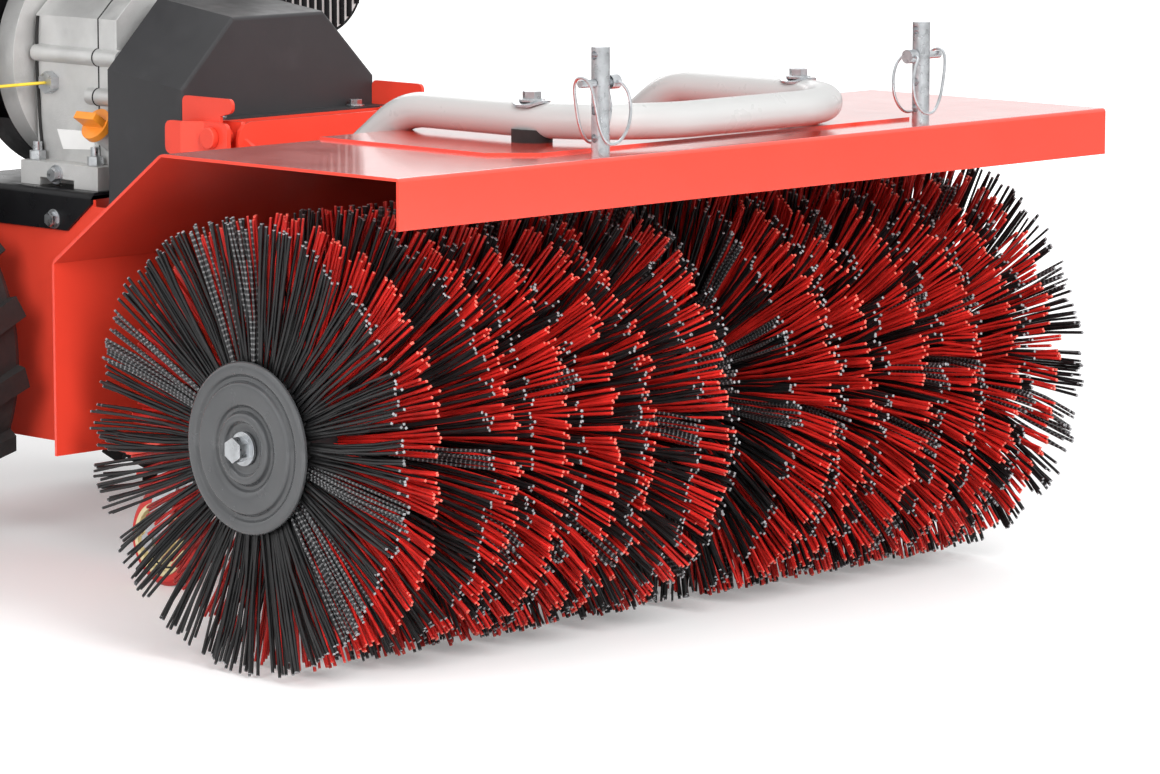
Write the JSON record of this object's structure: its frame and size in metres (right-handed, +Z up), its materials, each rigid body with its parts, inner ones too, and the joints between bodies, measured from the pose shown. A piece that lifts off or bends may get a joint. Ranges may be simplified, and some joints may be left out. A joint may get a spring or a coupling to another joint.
{
  "type": "power brush sweeper",
  "caption": "Walk-behind power brush sweeper: bristle roller under an open folded hood, belt drive under a cover, small engine, lugged drive wheels and a raised handlebar with levers.",
  "frame": {"origin": "on the floor under the middle of the machine's length and width", "axes": "+Z up, -Y towards the brush at the front, +X to the machine's right"},
  "size_m": [0.806, 1.5272, 1.0164],
  "materials": {
    "red_paint": "glossy powder coat",
    "black_paint": "satin powder coat",
    "bar_grey": "satin paint",
    "disc_grey": "satin paint",
    "zinc": "zinc plated",
    "steel": "turned steel",
    "alloy": "cast",
    "bristle_red": "drawn filament",
    "bristle_black": "drawn filament",
    "black_plastic": "moulded",
    "red_plastic": "moulded",
    "cream_plastic": "moulded",
    "orange_plastic": "moulded",
    "yellow_wire": "insulation",
    "rubber": "moulded",
    "tyre": "moulded"
  },
  "bodies": {
    "frame": {"hood": "red_paint", "guard_bar": "bar_grey", "bar_buffers": "rubber", "accessory_posts": "zinc", "frame_bolts": "zinc", "head_adapter": "red_paint", "hitch_rod": "red_paint", "brush_gearbox": "black_paint", "castor_mounts": "red_paint", "chassis": "red_paint", "engine_plate": "black_paint", "belt_cover": "black_paint", "brush_belt": "rubber", "traction_belt": "rubber", "shaft_bearings": "steel", "drive_gearbox": "black_paint", "crankcase": "alloy", "crankcase_cover": "alloy", "cylinder": "alloy", "fan_shroud": "black_plastic", "recoil_starter": "black_plastic", "fuel_tank": "black_plastic", "air_cleaner": "black_plastic", "muffler": "steel", "muffler_guard": "black_paint", "engine_fasteners": "zinc", "sensor_wire": "yellow_wire"},
    "crank": {"crankshaft": "steel", "engine_pulley": "steel"},
    "input": {"input_shaft": "steel", "brush_pulley": "steel"},
    "brush": {"brush_shaft": "steel", "worm_wheel": "steel", "brush_left": "bristle_red", "brush_right": "bristle_red", "brush_end_discs": "disc_grey", "brush_end_bolts": "zinc"},
    "axle": {"wheel_axle": "steel", "drive_rims": "bar_grey", "drive_tyres": "tyre"},
    "traction_input": {"traction_shaft": "steel"},
    "castor_left": {"castor_fork_left": "zinc"},
    "castor_right": {"castor_fork_right": "zinc"},
    "castor_wheel_left": {"castor_rim_left": "cream_plastic", "castor_tyre_left": "red_plastic"},
    "castor_wheel_right": {"castor_rim_right": "cream_plastic", "castor_tyre_right": "red_plastic"},
    "pin_left": {"lock_pin_left": "zinc"},
    "pin_right": {"lock_pin_right": "zinc"},
    "bail_left": {"pin_bail_left": "zinc"},
    "bail_right": {"pin_bail_right": "zinc"},
    "handle": {"handlebar": "black_paint", "handle_grips": "rubber", "control_panel": "black_plastic"},
    "brush_control": {"brush_lever": "red_plastic"},
    "drive_control": {"drive_lever": "red_plastic"},
    "speed_control": {"speed_lever": "black_plastic"},
    "throttle_control": {"throttle_lever": "black_plastic"},
    "cap": {"fuel_cap": "black_plastic"},
    "dipstick": {"oil_dipstick": "orange_plastic"}
  },
  "joints": [
    {"name": "brush_spin", "type": "hinge", "parent": "frame", "child": "brush", "pos_m": [0, -0.57564, 0.175], "axis": [1, 0, 0], "continuous": true},
    {"name": "input_spin", "type": "hinge", "parent": "frame", "child": "input", "pos_m": [0, -0.57564, 0.212], "axis": [0, 1, 0], "continuous": true},
    {"name": "crank_spin", "type": "hinge", "parent": "frame", "child": "crank", "pos_m": [0, -0.00614, 0.415], "axis": [0, 1, 0], "continuous": true},
    {"name": "wheel_spin", "type": "hinge", "parent": "frame", "child": "axle", "pos_m": [0, 0.14436, 0.16], "axis": [1, 0, 0], "continuous": true},
    {"name": "traction_spin", "type": "hinge", "parent": "frame", "child": "traction_input", "pos_m": [0, 0.02436, 0.212], "axis": [0, 1, 0], "continuous": true},
    {"name": "castor_swivel_left", "type": "hinge", "parent": "frame", "child": "castor_left", "pos_m": [-0.178, -0.26764, 0.112], "axis": [0, 0, 1], "continuous": true},
    {"name": "castor_roll_left", "type": "hinge", "parent": "castor_left", "child": "castor_wheel_left", "pos_m": [-0.178, -0.24364, 0.04], "axis": [1, 0, 0], "continuous": true},
    {"name": "pin_pull_left", "type": "slide", "parent": "frame", "child": "pin_left", "axis": [1, 0, 0], "range_m": [0, 0.032]},
    {"name": "bail_swing_left", "type": "hinge", "parent": "pin_left", "child": "bail_left", "pos_m": [-0.17, -0.74664, 0.4476], "axis": [0, -1, 0], "range_deg": [0, 90]},
    {"name": "castor_swivel_right", "type": "hinge", "parent": "frame", "child": "castor_right", "pos_m": [0.178, -0.26764, 0.112], "axis": [0, 0, 1], "continuous": true},
    {"name": "castor_roll_right", "type": "hinge", "parent": "castor_right", "child": "castor_wheel_right", "pos_m": [0.178, -0.24364, 0.04], "axis": [1, 0, 0], "continuous": true},
    {"name": "pin_pull_right", "type": "slide", "parent": "frame", "child": "pin_right", "axis": [-1, 0, 0], "range_m": [0, 0.032]},
    {"name": "bail_swing_right", "type": "hinge", "parent": "pin_right", "child": "bail_right", "pos_m": [0.17, -0.74664, 0.4476], "axis": [0, 1, 0], "range_deg": [0, 90]},
    {"name": "handle_height", "type": "hinge", "parent": "frame", "child": "handle", "pos_m": [0, 0.21036, 0.266], "axis": [1, 0, 0], "range_deg": [-10, 15]},
    {"name": "brush_squeeze", "type": "hinge", "parent": "handle", "child": "brush_control", "pos_m": [0.235, 0.59486, 0.90109], "axis": [1, 0, 0], "range_deg": [-18, 0], "stiffness_Nm_per_rad": 3, "springref_deg": 17.19},
    {"name": "drive_squeeze", "type": "hinge", "parent": "handle", "child": "drive_control", "pos_m": [-0.235, 0.59486, 0.90109], "axis": [1, 0, 0], "range_deg": [-18, 0], "stiffness_Nm_per_rad": 3, "springref_deg": 17.19},
    {"name": "speed_select", "type": "hinge", "parent": "handle", "child": "speed_control", "pos_m": [0, 0.43732, 0.76798], "axis": [1, 0, 0], "range_deg": [-18, 18]},
    {"name": "throttle_turn", "type": "hinge", "parent": "handle", "child": "throttle_control", "pos_m": [0.1153, 0.42332, 0.77718], "axis": [1, 0, 0], "range_deg": [-30, 30]},
    {"name": "cap_turn", "type": "hinge", "parent": "frame", "child": "cap", "pos_m": [-0.08, 0.05336, 0.693], "axis": [0, 0, 1], "range_deg": [0, 90]},
    {"name": "dipstick_turn", "type": "hinge", "parent": "frame", "child": "dipstick", "pos_m": [-0.08, -0.05264, 0.356], "axis": [-0.8192, 0, 0.5736], "range_deg": [0, 360]}
  ],
  "couplings": [
    {"joint": "input_spin", "follows": "brush_spin", "ratio": 12},
    {"joint": "traction_spin", "follows": "wheel_spin", "ratio": 20}
  ]
}
